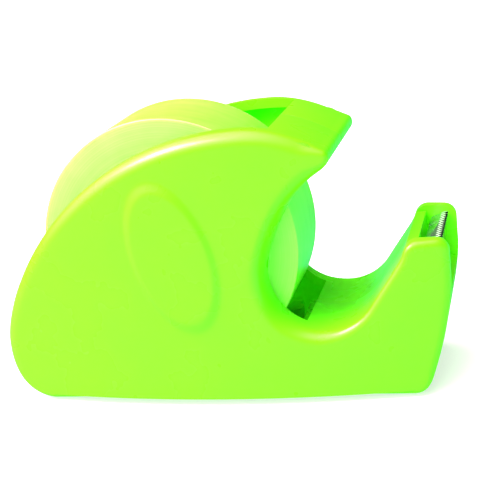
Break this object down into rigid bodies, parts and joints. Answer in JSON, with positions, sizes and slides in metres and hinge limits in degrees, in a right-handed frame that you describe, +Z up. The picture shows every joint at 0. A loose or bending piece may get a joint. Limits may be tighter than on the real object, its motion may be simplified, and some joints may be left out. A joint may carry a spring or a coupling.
{
  "type": "tape dispenser",
  "caption": "Small free-standing tape dispenser: a rounded two-piece shell, a lift-out tape roll on a spool and a toothed blade on a short arm.",
  "frame": {"origin": "on the surface it stands on, at the middle of the whole object's box", "axes": "+X from the heel towards the cutter, +Y across to the left side, +Z up; the right and left shells mirror each other in Y"},
  "size_m": [0.0864, 0.035, 0.0536],
  "materials": {
    "shell": "glossy lime green moulded ABS",
    "cover": "satin lime green moulded ABS",
    "pad": "fine-textured non-slip rubber sheet",
    "ballast": "plain cut mild steel",
    "blade": "stamped bright steel strip",
    "axle": "satin natural acetal",
    "hub": "glossy white moulded polystyrene",
    "core": "smooth cream plastic core",
    "tape": "clear film wound in a roll, milky with a yellow-green tint",
    "screw": "zinc-plated steel"
  },
  "bodies": {
    "case": {"right_shell": "shell", "left_shell": "shell", "base_plate": "cover", "foot_pad": "pad", "front_ballast": "ballast", "rear_ballast": "ballast", "blade_holder": "cover", "cutter_blade": "blade", "case_screws": "screw", "base_screws": "screw"},
    "axle": {"axle_pin": "axle"},
    "roll": {"right_hub": "hub", "left_hub": "hub", "tape_core": "core", "tape_roll": "tape"}
  },
  "joints": [
    {"name": "roll_lift", "type": "slide", "parent": "case", "child": "axle", "axis": [-0.2419, 0, 0.9703], "range_m": [0, 0.055]},
    {"name": "roll_spin", "type": "hinge", "parent": "axle", "child": "roll", "pos_m": [-0.0085, 0, 0.029], "axis": [0, 1, 0], "continuous": true}
  ]
}
